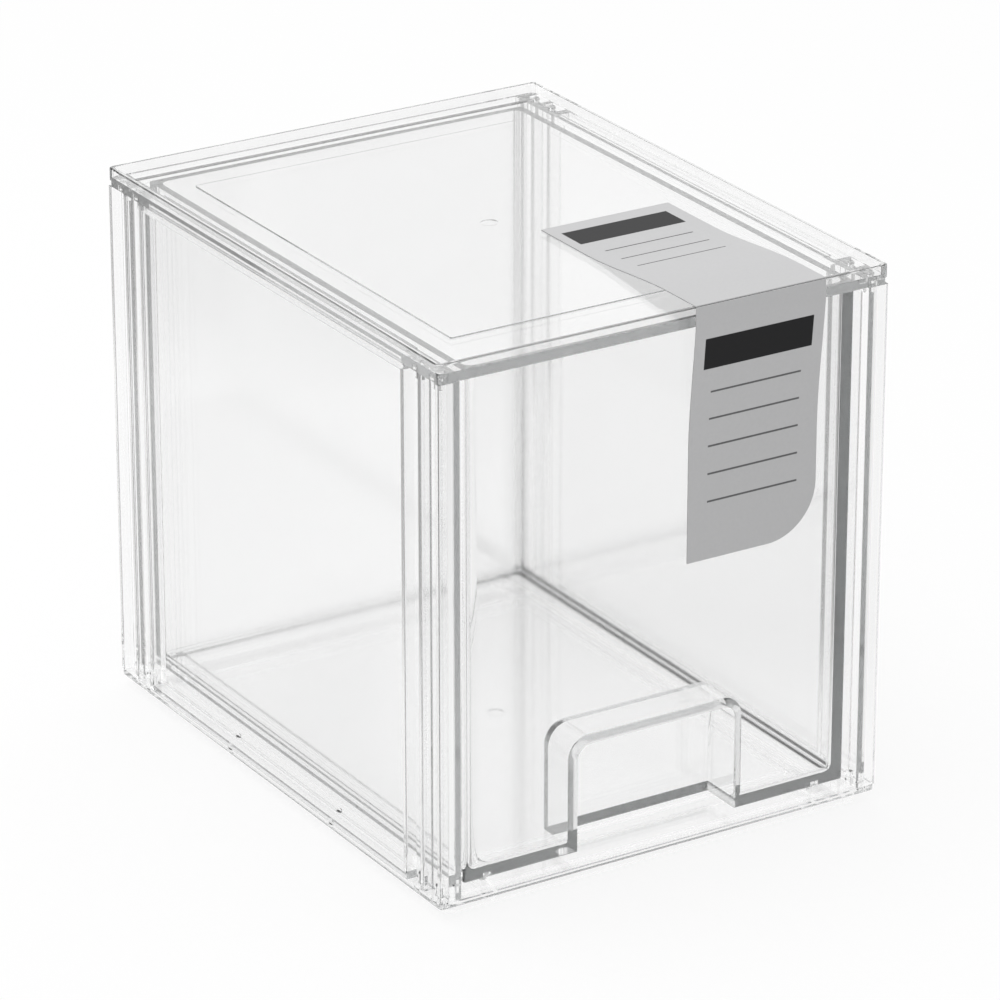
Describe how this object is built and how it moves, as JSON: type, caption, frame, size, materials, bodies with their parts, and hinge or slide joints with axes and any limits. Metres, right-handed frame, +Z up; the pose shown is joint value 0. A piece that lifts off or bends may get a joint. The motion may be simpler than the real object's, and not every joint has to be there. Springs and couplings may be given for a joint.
{
  "type": "stackable drawer box",
  "caption": "Clear stackable box with a recessed-panel case, ribbed corner posts, a tray-like top that takes the next box's foot, and a slide-out drawer with a finger pocket.",
  "frame": {"origin": "middle of the footprint, on the surface the box stands on", "axes": "+Z up, -Y towards the front that the drawer slides out of, +X to the right seen from the front"},
  "size_m": [0.15, 0.1904, 0.1699],
  "materials": {
    "clear_case": "clear polished polystyrene",
    "clear_drawer": "clear polished polystyrene",
    "label_paper": "plain grey printed film, with a black band"
  },
  "bodies": {
    "case": {"base_panel": "clear_case", "top_panel": "clear_case", "left_panel": "clear_case", "right_panel": "clear_case", "back_panel": "clear_case", "label_top": "label_paper"},
    "drawer": {"drawer": "clear_drawer", "label_front": "label_paper"}
  },
  "joints": [
    {"name": "drawer_slide", "type": "slide", "parent": "case", "child": "drawer", "axis": [0, -1, 0], "range_m": [0, 0.15]}
  ]
}
